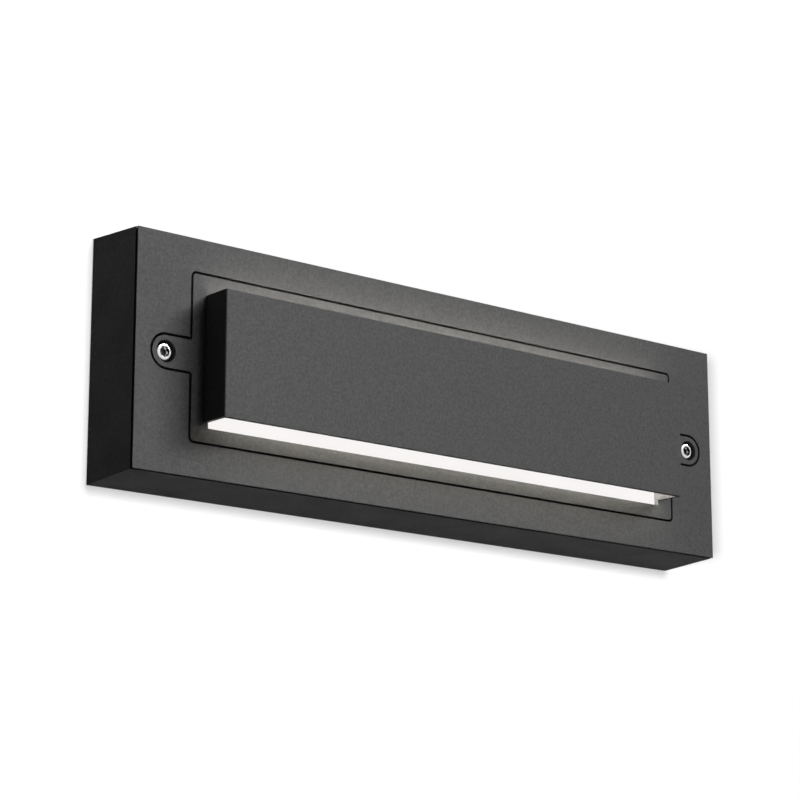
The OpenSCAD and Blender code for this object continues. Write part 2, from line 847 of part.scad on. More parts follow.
module leds() {
    color([0.98, 0.86, 0.45]) for (i = [0 : led_count - 1], sz = [-1, 1]) {
        x = (i - (led_count - 1) / 2) * led_pitch;
        block(led_w, led_h, board_y - led_t, board_y, x, sz * led_row_gap / 2);
        block(led_w - led_lens_inset, led_h - led_lens_inset, board_y - led_t - led_lens_t,
            board_y - led_t / 2, x, sz * led_row_gap / 2);
    }
}

module board_screws() {
    color(steel) board_places() difference() {
        union() {
            rod(board_screw_r, board_y - board_head_h, tray_back_y + board_thread_l);
            rod(board_head_r, board_y - board_head_h, board_y);
        }
        cross_recess(board_head_r, board_y - board_head_h - cut, board_y - board_head_h / 2);
    }
}

module led_plug() {
    color(nylon) difference() {
        block(plug_w, plug_h, board_back_y, plug_tip_y, socket_x, socket_z);
        for (sz = [-1, 1])
            rod(pin_r, plug_tip_y - pin_l, plug_tip_y + cut, socket_x, socket_z + sz * pin_pitch / 2);
    }
}

// One cover screw and its seal, drawn at the middle of the light
module screw_seal() {
    color(rubber_black) difference() {
        rod(seal_r, under_head_y, seal_back_y);
        rod(screw_r + hole_gap, under_head_y - cut, seal_back_y + cut);
    }
}

module cover_screw() {
    dome = arc(0, 0, 1, 0, 90, arc_steps);
    profile = concat([[0, 0], [head_r, 0]],
        [for (p = dome) [head_r * p[0], head_rim_h + (head_h - head_rim_h) * p[1]]]);
    color(steel) difference() {
        union() {
            translate([0, under_head_y, 0]) rotate([90, 0, 0])
                rotate_extrude($fn = round_fn) polygon(profile);
            rod(screw_r, under_head_y - head_rim_h, shank_end_y);
        }
        translate([0, head_y + socket_d, 0]) rotate([90, 0, 0])
            linear_extrude(socket_d + cut) polygon(socket_points());
    }
}

module left_screw_seal() {
    translate([-screw_x, 0, 0]) screw_seal();
}

module right_screw_seal() {
    translate([screw_x, 0, 0]) screw_seal();
}

module left_screw() {
    translate([-screw_x, 0, 0]) cover_screw();
}

module right_screw() {
    translate([screw_x, 0, 0]) cover_screw();
}

housing();
cable_grommet();
spare_grommet();
terminal_block();
terminal_clamps();
terminal_screws();
block_screws();
earth_tag();
earth_screw();
driver_case();
driver_lid();
driver_board();
driver_transformer();
driver_capacitors();
driver_screws();
led_socket();
live_lead();
neutral_lead();
earth_lead();
output_leads();
front_cover();
cover_gasket();
hood_reflector();
pane_gasket();
diffuser();
light_tray();
tray_screws();
thermal_pad();
led_board();
leds();
board_screws();
led_plug();
left_screw_seal();
right_screw_seal();
left_screw();
right_screw();
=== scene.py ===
import json
from math import atan2, cos, pi, radians, sin, tan

import bmesh
import bpy
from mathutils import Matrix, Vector

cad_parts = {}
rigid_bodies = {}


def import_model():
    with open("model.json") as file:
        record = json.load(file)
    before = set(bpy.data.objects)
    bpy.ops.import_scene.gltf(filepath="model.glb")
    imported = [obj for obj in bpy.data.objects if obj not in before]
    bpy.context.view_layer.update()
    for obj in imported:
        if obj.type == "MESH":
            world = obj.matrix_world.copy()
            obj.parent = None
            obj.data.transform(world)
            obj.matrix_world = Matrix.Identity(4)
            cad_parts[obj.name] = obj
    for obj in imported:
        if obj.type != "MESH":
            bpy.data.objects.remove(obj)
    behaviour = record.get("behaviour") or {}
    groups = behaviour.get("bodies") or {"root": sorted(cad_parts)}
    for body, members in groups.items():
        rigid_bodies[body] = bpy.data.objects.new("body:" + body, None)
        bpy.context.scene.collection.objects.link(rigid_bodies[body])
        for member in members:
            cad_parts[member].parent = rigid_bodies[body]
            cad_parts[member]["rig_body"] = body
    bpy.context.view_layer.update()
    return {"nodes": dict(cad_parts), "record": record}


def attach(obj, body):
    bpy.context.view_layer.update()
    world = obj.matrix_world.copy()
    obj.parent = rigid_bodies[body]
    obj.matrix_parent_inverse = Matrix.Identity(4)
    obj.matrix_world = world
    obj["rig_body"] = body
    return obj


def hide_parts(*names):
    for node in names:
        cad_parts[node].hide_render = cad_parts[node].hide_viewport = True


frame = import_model()

MM = 0.001
SIDES = (-1, 1)
CORNERS = [(x, z) for x in SIDES for z in SIDES]
Y, Z = 1, 2

# Housing, as in the part's source
FRONT_W, FRONT_H, BODY_D = 328 * MM, 100 * MM, 32.5 * MM
WALL_T, BACK_T = 3 * MM, 3 * MM
ROOM_W, ROOM_H = FRONT_W - 2 * WALL_T, FRONT_H - 2 * WALL_T
DRAFT_X, DRAFT_Z = 0.6 * MM, 1.9 * MM
RIM_X, RIM_Z = 27.5 * MM, 15 * MM
PLATE_W, PLATE_H = FRONT_W - 2 * RIM_X, FRONT_H - 2 * RIM_Z
PLATE_T, PLATE_GAP, CORNER_R = 3 * MM, 1.1 * MM, 1.5 * MM
EAR_R, EAR_T = 6.65 * MM, 6 * MM
SCREW_X = PLATE_W / 2 + 12.6 * MM
GASKET_T, LEDGE_T, COLLAR_T = 1 * MM, 2.5 * MM, 2.5 * MM
FRONT_Y = -BODY_D
LEDGE_Y = FRONT_Y + PLATE_T + GASKET_T
EAR_FLOOR_Y = FRONT_Y + EAR_T
EAR_FLOOR_T = 2 * MM
OPEN_W, OPEN_H = 269.6 * MM, 66 * MM
PILLAR_R, BORE_SPARE = 5 * MM, 2 * MM

# Bosses, bores and slots of the housing's back
DRIVER_SCREW_X, DRIVER_BOSS_R, DRIVER_BOSS_T, DRIVER_BORE_R = 78.5 * MM, 3.5 * MM, 3 * MM, 1.55 * MM
EARTH_X, EARTH_Z = -147 * MM, -22 * MM
EARTH_BOSS_R, EARTH_BOSS_T, EARTH_BORE_R = 4.5 * MM, 4 * MM, 2.05 * MM
BOSS_BORE_END_Y = -1.4 * MM
BLOCK_X, BLOCK_Z, BLOCK_SCREW_Z = -147 * MM, 26 * MM, 4.1 * MM
BLOCK_BORE_R, BLOCK_BORE_END_Y = 1.3 * MM, -1.15 * MM
ENTRY_X, ENTRY_Z, ENTRY_R = -118 * MM, 24 * MM, 10 * MM
SLOT_X, SLOT_R, SLOT_REACH = 100 * MM, 2.75 * MM, 4.25 * MM

# Small roundings, and the fine line behind the housing's front edge
EDGE_R = 0.25 * MM
SOFT_R = 0.25 * MM
JOINT_R = 1.2 * MM
INNER_R = 0.15 * MM
LINE_BACK, LINE_W, LINE_D = 0.2 * MM, 1.4 * MM, 1 * MM

# Hood, window and the seat of the pane
HOOD_W, HOOD_H, HOOD_P = 259.6 * MM, 53.2 * MM, 14 * MM
HOOD_SIDE_T, HOOD_FRONT_T, REFLECTOR_T = 1.8 * MM, 2.3 * MM, 0.5 * MM
HOOD_IN_W = HOOD_W - 2 * HOOD_SIDE_T
HOOD_EDGE_R, THROAT_EDGE_R = 0.7 * MM, 0.5 * MM
HOOD_Y = FRONT_Y - HOOD_P
WINDOW_W, WINDOW_H = 256 * MM, 58 * MM
PANE_W, PANE_H = 262.8 * MM, 64.8 * MM
NOTCH_X, NOTCH_Z = 2.4 * MM, 5.3 * MM
LIP_Y = FRONT_Y + 2 * MM
PANE_BACK_Y = LIP_Y + 3.5 * MM
BOSS_X, BOSS_Z, BOSS_R = 131.5 * MM, 29.6 * MM, 2.2 * MM
BOSS_BORE_R, BOSS_BORE_D = 1.3 * MM, 3 * MM
SEAT_GAP = 0.3 * MM
HEM_W, HEM_SLOPE, HEM_T, HEM_R = 1.5 * MM, 0.3 * MM, 0.2 * MM, 0.1 * MM

# Cover screws and their seals
SHANK_R, HEAD_R, HEAD_H, HEAD_SINK = 2 * MM, 3.8 * MM, 2.2 * MM, 1 * MM
HEAD_WELL_R, SEAL_R, SEAL_T = 4.7 * MM, 4.5 * MM, 1 * MM
HEAD_Y = FRONT_Y + HEAD_SINK
UNDER_HEAD_Y = HEAD_Y + HEAD_H
SEAL_BACK_Y = UNDER_HEAD_Y + SEAL_T
SHANK_END_Y = UNDER_HEAD_Y + 12 * MM
SHANK_PLAY, THREAD_PLAY, SEAL_PLAY = 0.25 * MM, 0.05 * MM, 0.02 * MM
HEAD_RIM_R, HEAD_FLAT_R, HEAD_CROWN, HEAD_TOP = 1 * MM, 2.2 * MM, 0.05 * MM, 0.35 * MM
CORNER, SEAL_CORNER, SEAL_BULGE = 0.12 * MM, 0.25 * MM, 0.07 * MM
SOCKET_R, SOCKET_D, LOBES, LOBE_RISE = 2.3 * MM, 1.75 * MM, 6, 0.08
SOCKET_SIDES = 72
# Radii of the painted shade in the screws' sockets: full inside the first, gone past the second
SOCKET_SHADE_FULL_R, SOCKET_SHADE_END_R = 2.2 * MM, 2.45 * MM
NECK_L, PITCH, ROOT_R, CREST_R = 1.2 * MM, 0.7 * MM, 1.62 * MM, 1.94 * MM
THREAD_START, THREAD_END, TIP_L, TIP_IN = 0.2 * MM, 0.6 * MM, 0.3 * MM, 0.4 * MM

# Grommets
CABLE_R, WAIST_R, FLANGE_R, FLANGE_T = 4 * MM, 9.9 * MM, 12 * MM, 2 * MM
FOOT_Y, FOOT_EDGE = -0.3 * MM, 0.3 * MM
RIM_EDGE, RIM_BULGE_X, RIM_BULGE_Y = 0.6 * MM, 0.2 * MM, 0.17 * MM
NOSE_R, NOSE_L, NOSE_FOOT = 8 * MM, 4 * MM, 0.4 * MM
NOSE_RIBS, RIB_STEP, RIB_TAPER = 3, 1.3 * MM, 0.62 * MM
RIB_TOP_L, RIB_EDGE, RIB_EDGE_L, RIB_D, RIB_L = 0.25 * MM, 0.15 * MM, 0.8 * MM, 0.6 * MM, 1 * MM
TIP_R, TIP_EDGE = 6 * MM, 0.2 * MM
DIMPLE_R, DIMPLE_D = 0.6 * MM, 0.3 * MM

# Modelling: how far tools reach past a face, how near points merge or count as one place, and
# how well a direction follows an axis
CUT = 1 * MM
MERGE, CAD_MERGE = 1e-6, 2e-6
CLOSE = 0.05 * MM
ALIGNED = 0.9
FLAT = radians(0.5)

# Stage
STAGE_SIZE = 8
FLOOR_Z, WALL_Y = -1.7, 0.6 * MM
FLOOR_WHITE, WALL_WHITE = 0.85, 0.82
WALL_GLOW = 0.02
AMBIENT = 0.02
PANE_GLOW = 6


# Camera at the photograph's viewpoint

CAMERA_AT = (-0.6991, -0.8552, -0.2558)
CAMERA_AZIMUTH, CAMERA_RISE = 39.22, 13.445
CAMERA_LENS, SENSOR_W = 113.76, 36
CLIP_NEAR, CLIP_FAR = 0.01, 50


def set_camera():
    """Stands a pinhole camera where the photograph was taken."""
    camera = bpy.data.objects.new("camera", bpy.data.cameras.new("camera"))
    bpy.context.scene.collection.objects.link(camera)
    camera.data.lens = CAMERA_LENS
    camera.data.sensor_width = SENSOR_W
    camera.location = CAMERA_AT
    camera.rotation_euler = (radians(90 + CAMERA_RISE), 0, -radians(CAMERA_AZIMUTH))
    camera.data.clip_start, camera.data.clip_end = CLIP_NEAR, CLIP_FAR
    bpy.context.scene.camera = camera


# Modelling helpers


def clear_selection():
    if bpy.context.object and bpy.context.object.mode != "OBJECT":
        bpy.ops.object.mode_set(mode="OBJECT")
    bpy.ops.object.select_all(action="DESELECT")


def use(piece):
    """Makes a piece the only one selected, and the active one."""
    clear_selection()
    bpy.context.view_layer.objects.active = piece
    piece.select_set(True)
    return piece


def settle(piece):
    """Puts the piece's place, turn and size into its mesh."""
    use(piece)
    bpy.ops.object.transform_apply(location=True, rotation=True, scale=True)
    return piece


def named(name):
    """Names the piece that was just added."""
    piece = bpy.context.object
    piece.name = piece.data.name = name
    return piece


def box(name, low, high):
    """Box between two corners."""
    clear_selection()
    centre = [(a + b) / 2 for a, b in zip(low, high)]
    bpy.ops.mesh.primitive_cube_add(size=1, location=centre)
    bpy.context.object.scale = [b - a for a, b in zip(low, high)]
    return settle(named(name))


def slab(name, width, height, y0, y1):
    """Box around the light's own axis."""
    return box(name, (-width / 2, y0, -height / 2), (width / 2, y1, height / 2))


def rod(name, radius, y0, y1, x=0, z=0, sides=48):
    """Cylinder along Y."""
    clear_selection()
    bpy.ops.mesh.primitive_cylinder_add(
        vertices=sides, radius=radius, depth=y1 - y0, location=(x, (y0 + y1) / 2, z),
        rotation=(pi / 2, 0, 0))
    return settle(named(name))


def pick(mode, test):
    """Selects the verts, edges or faces of the piece in edit mode that pass a test."""
    mesh = bmesh.from_edit_mesh(bpy.context.object.data)
    bpy.context.tool_settings.mesh_select_mode = (mode == "VERT", mode == "EDGE", mode == "FACE")
    for group in (mesh.verts, mesh.edges, mesh.faces):
        for item in group:
            item.select_set(False)
    found = {"VERT": mesh.verts, "EDGE": mesh.edges, "FACE": mesh.faces}[mode]
    for item in found:
        if test(item):
            item.select_set(True)
    mesh.select_flush_mode()
    bmesh.update_edit_mesh(bpy.context.object.data)


def edit(piece):
    use(piece)
    bpy.ops.object.mode_set(mode="EDIT")


def done():
    bpy.ops.object.mode_set(mode="OBJECT")


def middle(edge):
    return (edge.verts[0].co + edge.verts[1].co) / 2


def runs(edge, axis):
    """Whether an edge runs along an axis."""
    return abs((edge.verts[1].co - edge.verts[0].co).normalized()[axis]) > ALIGNED


def apply(piece, kind, **settings):
    """Adds a modifier and applies it."""
    use(piece)
    modifier = piece.modifiers.new(kind.lower(), kind)
    for key, value in settings.items():
        setattr(modifier, key, value)
    bpy.ops.object.modifier_apply(modifier=modifier.name)
    return piece


def carve(piece, tools, operation="DIFFERENCE"):
    """Cuts the tools from the piece, or joins them to it, and clears them away."""
    for tool in tools:
        apply(piece, "BOOLEAN", object=tool, operation=operation, solver="EXACT")
        bpy.data.objects.remove(tool)
    tidy(piece)
    return piece


def tidy(piece):
    """Merges what a cut left double, clears flat edges and turns the faces outwards."""
    edit(piece)
    bpy.ops.mesh.select_all(action="SELECT")
    bpy.ops.mesh.remove_doubles(threshold=MERGE)
    bpy.ops.mesh.dissolve_limited(angle_limit=FLAT)
    bpy.ops.mesh.select_all(action="SELECT")
    bpy.ops.mesh.normals_make_consistent(inside=False)
    done()


def bevel_edges(piece, width, segments, test):
    """Rounds the edges that pass a test."""
    edit(piece)
    pick("EDGE", test)
    bpy.ops.mesh.bevel(offset=width, segments=segments, affect="EDGES", clamp_overlap=True)
    done()
    return piece


def ease(piece, width, angle, segments=2):
    """Rounds every edge that is sharper than an angle in degrees."""
    return apply(piece, "BEVEL", width=width, segments=segments, limit_method="ANGLE",
                 angle_limit=radians(angle), use_clamp_overlap=True)


def shade(piece, angle=40):
    """Shades curves smooth and leaves flat faces flat."""
    use(piece)
    bpy.ops.object.shade_smooth_by_angle(angle=radians(angle))
    return apply(piece, "WEIGHTED_NORMAL", keep_sharp=True)


def turned(name, outline, sides=48, x=0, z=0):
    """Draws an outline of (radius, y) points and spins it about the Y axis through (x, z)."""
    clear_selection()
    bpy.ops.mesh.primitive_circle_add(vertices=3, radius=1 * MM, location=(0, 0, 0))
    piece = named(name)
    edit(piece)
    bpy.ops.mesh.select_mode(type="VERT")
    bpy.ops.mesh.select_all(action="SELECT")
    bpy.ops.mesh.merge(type="CENTER")
    radius, y = outline[0]
    bpy.ops.transform.translate(value=(x + radius, y, z))
    for (radius, y), (next_radius, next_y) in zip(outline, outline[1:]):
        bpy.ops.mesh.extrude_vertices_move(
            TRANSFORM_OT_translate={"value": (next_radius - radius, next_y - y, 0)})
    bpy.ops.mesh.select_all(action="SELECT")
    bpy.ops.mesh.spin(steps=sides, angle=2 * pi, center=(x, 0, z), axis=(0, 1, 0))
    bpy.ops.mesh.select_all(action="SELECT")
    bpy.ops.mesh.remove_doubles(threshold=MERGE)
    bpy.ops.mesh.normals_make_consistent(inside=False)
    done()
    return piece


def copy_along(piece, name, x):
    """Copies a piece, with its own mesh, to a place along the light."""
    use(piece)
    bpy.ops.object.duplicate(linked=False)
    copied = named(name)
    copied.location.x = x
    return settle(copied)


def place(piece, body, slot, finish, *nodes):
    """Gives a finished piece its body and its material, and hides the nodes that it stands for. The
    slot is not used.
    """
    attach(piece, body)
    if nodes:
        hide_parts(*nodes)
    piece.data.materials.clear()
    piece.data.materials.append(finish)
    return piece


# Materials


def ranged(nodes, links, value, start, end, low, high):
    """Turns a value between start and end into one between low and high."""
    node = nodes.new("ShaderNodeMapRange")
    for name, number in (("From Min", start), ("From Max", end), ("To Min", low), ("To Max", high)):
        node.inputs[name].default_value = number
    links.new(value, node.inputs["Value"])
    return node.outputs["Result"]


class Finish:
    """A principled material with its pattern nodes on Object coordinates."""

    def __init__(self, name, colour, roughness, metallic=0, specular=0.5):
        self.material = bpy.data.materials.new(name)
        self.material.use_nodes = True
        self.nodes, self.links = self.material.node_tree.nodes, self.material.node_tree.links
        self.shader = self.nodes["Principled BSDF"]
        self.colour = colour
        self.put("Base Color", (*colour, 1))
        self.put("Roughness", roughness)
        self.put("Metallic", metallic)
        self.put("Specular IOR Level", specular)
        self.place = self.nodes.new("ShaderNodeTexCoord").outputs["Object"]
        self.relief = None

    def put(self, socket, value):
        self.shader.inputs[socket].default_value = value
        return self

    def stretched(self, scale):
        mapping = self.nodes.new("ShaderNodeMapping")
        mapping.inputs["Scale"].default_value = scale
        self.links.new(self.place, mapping.inputs["Vector"])
        return mapping.outputs["Vector"]

    def noise(self, size, detail=2.0, rough=0.5, stretch=None):
        """Noise with blotches of about the given size in metres."""
        node = self.nodes.new("ShaderNodeTexNoise")
        node.inputs["Scale"].default_value = 1 / size
        node.inputs["Detail"].default_value = detail
        node.inputs["Roughness"].default_value = rough
        self.links.new(self.stretched(stretch) if stretch else self.place, node.inputs["Vector"])
        return node.outputs["Fac"]

    def spread(self, value, low, high, socket, start=0.3, end=0.7):
        """Leads a pattern to a value socket, from low to high."""
        result = ranged(self.nodes, self.links, value, start, end, low, high)
        self.links.new(result, self.shader.inputs[socket])
        return self

    def tint(self, value, dark, light, start=0.35, end=0.65):
        """Leads a pattern to the colour, between two shares of the finish's own colour."""
        node = self.nodes.new("ShaderNodeValToRGB")
        low, high = node.color_ramp.elements
        low.position, high.position = start, end
        low.color = (*[min(1, c * dark) for c in self.colour], 1)
        high.color = (*[min(1, c * light) for c in self.colour], 1)
        self.links.new(value, node.inputs["Fac"])
        self.links.new(node.outputs["Color"], self.shader.inputs["Base Color"])
        return self

    def raise_by(self, value, height, strength=1.0):
        """Adds a pattern's relief of the given height to the surface."""
        node = self.nodes.new("ShaderNodeBump")
        node.inputs["Strength"].default_value = strength
        node.inputs["Distance"].default_value = height
        self.links.new(value, node.inputs["Height"])
        if self.relief:
            self.links.new(self.relief, node.inputs["Normal"])
        self.relief = node.outputs["Normal"]
        self.links.new(self.relief, self.shader.inputs["Normal"])
        return self


def powder_coat():
    """Matt graphite powder coat: fine orange peel, faint specks and a slightly uneven sheen."""
    finish = Finish("graphite_powder_coat", (0.1, 0.1, 0.1008), roughness=0.6, specular=0.025)
    finish.tint(finish.noise(1.1 * MM, detail=5, rough=0.75), dark=0.8, light=1.2)
    finish.spread(finish.noise(12 * MM, detail=3), 0.55, 0.65, "Roughness")
    finish.raise_by(finish.noise(1.2 * MM, detail=3), height=0.08 * MM, strength=0.6)
    finish.raise_by(finish.noise(0.4 * MM, detail=2), height=0.03 * MM, strength=0.6)
    return finish.material


def white_coat():
    """Matt white coat of the hood's reflector."""
    finish = Finish("matt_white_coat", (0.86, 0.86, 0.84), roughness=0.5, specular=0.4)
    finish.tint(finish.noise(20 * MM, detail=3), dark=0.97, light=1.02)
    finish.raise_by(finish.noise(0.8 * MM), height=0.02 * MM, strength=0.4)
    return finish.material


def opal():
    """Opal pane, lit from behind. The camera sees a soft white, other pieces get its full light."""
    finish = Finish("lit_opal_acrylic", (0.95, 0.95, 0.93), roughness=0.3, specular=0.5)
    finish.put("Emission Color", (1.0, 0.95, 0.88, 1))
    finish.put("Emission Strength", PANE_GLOW)
    finish.raise_by(finish.noise(0.6 * MM), height=0.01 * MM, strength=0.3)
    nodes, links = finish.nodes, finish.links
    seen = nodes.new("ShaderNodeEmission")
    seen.inputs["Color"].default_value = (0.947, 0.922, 0.913, 1)
    level = ranged(nodes, links, finish.noise(50 * MM, detail=1), 0.3, 0.7, 0.96, 1.02)
    links.new(level, seen.inputs["Strength"])
    mix = nodes.new("ShaderNodeMixShader")
    links.new(nodes.new("ShaderNodeLightPath").outputs["Is Camera Ray"], mix.inputs["Fac"])
    links.new(finish.shader.outputs[0], mix.inputs[1])
    links.new(seen.outputs[0], mix.inputs[2])
    links.new(mix.outputs[0], nodes["Material Output"].inputs["Surface"])
    return finish.material


def rubber():
    """Black rubber of the seals and grommets."""
    finish = Finish("black_rubber", (0.012, 0.012, 0.0125), roughness=0.75, specular=0.15)
    finish.tint(finish.noise(3 * MM, detail=4, rough=0.7), dark=0.8, light=1.35)
    finish.raise_by(finish.noise(0.4 * MM, detail=3), height=0.03 * MM, strength=0.6)
    return finish.material


def bright_metal(name, colour, roughness, grain=(1, 30, 1)):
    """Turned or plated metal, with fine marks of the tool and a cloudy polish."""
    finish = Finish(name, colour, roughness, metallic=1)
    finish.tint(finish.noise(1.5 * MM, detail=3), dark=0.9, light=1.06)
    finish.spread(finish.noise(1 * MM, detail=3), roughness * 0.75, roughness * 1.4, "Roughness")
    finish.raise_by(finish.noise(2 * MM, detail=2, stretch=grain), height=0.01 * MM, strength=0.35)
    return finish.material


def screw_steel():
    """Bright steel, with painted shade round the middle of each screw's head, in and over its
    socket.
    """
    material = bright_metal("turned_stainless_steel", (0.66, 0.66, 0.65), 0.2)
    nodes, links = material.node_tree.nodes, material.node_tree.links
    shader = nodes["Principled BSDF"]
    away = next(n for n in nodes if n.type == "TEX_COORD").outputs["Object"]
    # Both screws become one at a positive x, and then the distance from its head is taken
    for operation, amount in (("ABSOLUTE", None), ("MULTIPLY", (1, -1, 1)),
                              ("SUBTRACT", (SCREW_X, HEAD_Y, 0)), ("MULTIPLY", (1, 0.8, 1)),
                              ("LENGTH", None)):
        node = nodes.new("ShaderNodeVectorMath")
        node.operation = operation
        if amount:
            node.inputs[1].default_value = amount
        links.new(away, node.inputs[0])
        away = node.outputs["Value" if operation == "LENGTH" else "Vector"]
    # Painted shade: the steel's colour falls to 4 % inside the socket and over the middle of the
    # head
    shade_in = nodes.new("ShaderNodeMix")
    shade_in.data_type, shade_in.blend_type = "RGBA", "MULTIPLY"
    shade_in.inputs["Factor"].default_value = 1
    colour_a, colour_b, colour_out = shade_in.inputs[6], shade_in.inputs[7], shade_in.outputs[2]
    links.new(shader.inputs["Base Color"].links[0].from_socket, colour_a)
    links.new(ranged(nodes, links, away, SOCKET_SHADE_FULL_R, SOCKET_SHADE_END_R, 0.04, 1), colour_b)
    links.new(colour_out, shader.inputs["Base Color"])
    return material


def moulded(name, colour, roughness=0.45):
    """Moulded plastic with a fine spark-eroded grain."""
    finish = Finish(name, colour, roughness, specular=0.45)
    finish.tint(finish.noise(10 * MM, detail=4), dark=0.94, light=1.04)
    finish.spread(finish.noise(4 * MM, detail=3), roughness * 0.9, roughness * 1.15, "Roughness")
    finish.raise_by(finish.noise(0.4 * MM, detail=2), height=0.02 * MM, strength=0.5)
    return finish.material


def lead_sleeve(name, colour):
    """Soft, slightly shiny sleeve of a lead."""
    finish = Finish(name, colour, roughness=0.35, specular=0.5)
    finish.tint(finish.noise(4 * MM, detail=2), dark=0.9, light=1.08)
    finish.raise_by(finish.noise(1.5 * MM), height=0.03 * MM, strength=0.4)
    return finish.material


FINISHES = {
    "powder_coat": powder_coat(),
    "white_coat": white_coat(),
    "light_tray": moulded("pale_grey_tray", (0.42, 0.42, 0.41)),
    "opal_diffuser": opal(),
    "rubber": rubber(),
    "stainless": screw_steel(),
    "zinc_steel": bright_metal("bright_zinc_plate", (0.66, 0.67, 0.7), 0.3),
    "brass": bright_metal("plain_brass", (0.78, 0.58, 0.26), 0.28),
    "terminal_plastic": moulded("off_white_nylon", (0.8, 0.78, 0.7)),
    "case_plastic": moulded("light_grey_case", (0.68, 0.69, 0.68)),
    "circuit_board": moulded("green_solder_mask", (0.03, 0.2, 0.08), 0.3),
    "transformer": moulded("dark_ferrite", (0.05, 0.05, 0.052), 0.55),
    "capacitor_can": moulded("sleeved_can", (0.06, 0.07, 0.12), 0.3),
    "thermal_pad": moulded("grey_silicone_pad", (0.4, 0.43, 0.46), 0.7),
    "led_board": moulded("white_solder_mask", (0.85, 0.85, 0.82), 0.35),
    "led_phosphor": moulded("phosphor_gel", (0.9, 0.66, 0.18), 0.3),
    "lead_brown": lead_sleeve("brown_sleeve", (0.16, 0.06, 0.025)),
    "lead_blue": lead_sleeve("blue_sleeve", (0.03, 0.12, 0.5)),
    "lead_green": lead_sleeve("green_yellow_sleeve", (0.25, 0.45, 0.05)),
    "lead_red": lead_sleeve("red_sleeve", (0.5, 0.03, 0.02)),
}


def finish_of(row):
    """A node's own finish, or else that of its slot."""
    return FINISHES.get(row["node"], FINISHES[row["material_slot"]])


def dress_nodes():
    """Gives every node of the frame its finish."""
    for row in frame["record"]["subparts"]:
        for each in frame["nodes"][row["node"]].material_slots:
            each.material = finish_of(row)


# Cover plate's outline


def plate_tool(name, grow, y0, y1):
    """Plate with round corners, grown on every side."""
    piece = slab(name, PLATE_W + 2 * grow, PLATE_H + 2 * grow, y0, y1)
    return bevel_edges(piece, CORNER_R + grow, 8, lambda e: runs(e, Y))


def ear_tool(name, side, grow, y0, y1, near):
    """Round ear at one end: half a cylinder whose flat side is drawn in to the plate."""
    piece = rod(name, EAR_R + grow, y0, y1, side * SCREW_X, sides=64)
    edit(piece)
    bpy.ops.mesh.select_all(action="SELECT")
    bpy.ops.mesh.bisect(plane_co=(side * SCREW_X, 0, 0), plane_no=(side, 0, 0), use_fill=True,
                        clear_inner=True)
    pick("FACE", lambda f: f.normal.x * side < -ALIGNED)
    bpy.ops.mesh.extrude_region_move(
        TRANSFORM_OT_translate={"value": (side * (near - SCREW_X), 0, 0)})
    done()
    return piece


def full_plate(name, grow, y0, y1):
    """Plate and ears in one, with the joints between them rounded."""
    piece = plate_tool(name, grow, y0, y1)
    ears = [ear_tool(f"{name}_ear", side, grow, y0, y1, PLATE_W / 2 - 4 * CUT) for side in SIDES]
    carve(piece, ears, "UNION")
    inner = JOINT_R - grow if grow < JOINT_R else JOINT_R / 4
    return bevel_edges(piece, inner, 5, lambda e: runs(e, Y)
                       and abs(abs(middle(e).x) - PLATE_W / 2 - grow) < CLOSE
                       and abs(abs(middle(e).z) - EAR_R - grow) < CLOSE)


# Housing


def housing_block():
    """Box that leans out towards the wall, with rounded front edges and a fine line behind them."""
    block = slab("housing_shell", FRONT_W, FRONT_H, FRONT_Y, 0)
    edit(block)
    pick("FACE", lambda f: f.normal.y > ALIGNED)
    bpy.ops.transform.resize(value=(1 + 2 * DRAFT_X / FRONT_W, 1, 1 + 2 * DRAFT_Z / FRONT_H))
    done()
    bevel_edges(block, EDGE_R, 4, lambda e: middle(e).y < FRONT_Y + CUT or runs(e, Y))
    edit(block)
    for depth in (LINE_BACK, LINE_BACK + LINE_W):
        bpy.ops.mesh.select_all(action="SELECT")
        bpy.ops.mesh.bisect(plane_co=(0, FRONT_Y + depth, 0), plane_no=(0, 1, 0))
    line_y = FRONT_Y + LINE_BACK + LINE_W / 2
    pick("FACE", lambda f: abs(f.calc_center_median().y - line_y) < LINE_W / 4
         and abs(f.normal.y) < 0.5)
    bpy.ops.mesh.extrude_region_shrink_fatten(TRANSFORM_OT_shrink_fatten={"value": -LINE_D})
    done()
    return block


def wall_slot(side):
    """Long hole for a wall screw: a round tool whose halves are drawn apart."""
    slot = rod("slot_tool", SLOT_R, -BACK_T - CUT, CUT, side * SLOT_X, sides=32)
    edit(slot)
    for way in SIDES:
        pick("VERT", lambda v: (v.co.x - side * SLOT_X) * way > CLOSE)
        bpy.ops.transform.translate(value=(way * SLOT_REACH, 0, 0))
    done()
    return slot


def housing_inside():
    """Seat of the cover, pillars of the cover screws, and bosses on the back wall."""
    grown, seat_y = PLATE_GAP + COLLAR_T, FRONT_Y + WALL_T / 2
    parts = [plate_tool("seat", grown, seat_y, LEDGE_Y + LEDGE_T),
             rod("earth_boss", EARTH_BOSS_R, -BACK_T - EARTH_BOSS_T, -BACK_T / 2, EARTH_X, EARTH_Z)]
    for side in SIDES:
        parts += [
            ear_tool("ear_seat", side, grown, seat_y, EAR_FLOOR_Y + EAR_FLOOR_T, OPEN_W / 2),
            rod("pillar", PILLAR_R, EAR_FLOOR_Y, -BACK_T / 2, side * SCREW_X),
            rod("driver_boss", DRIVER_BOSS_R, -BACK_T - DRIVER_BOSS_T, -BACK_T / 2,
                side * DRIVER_SCREW_X)]
    return parts


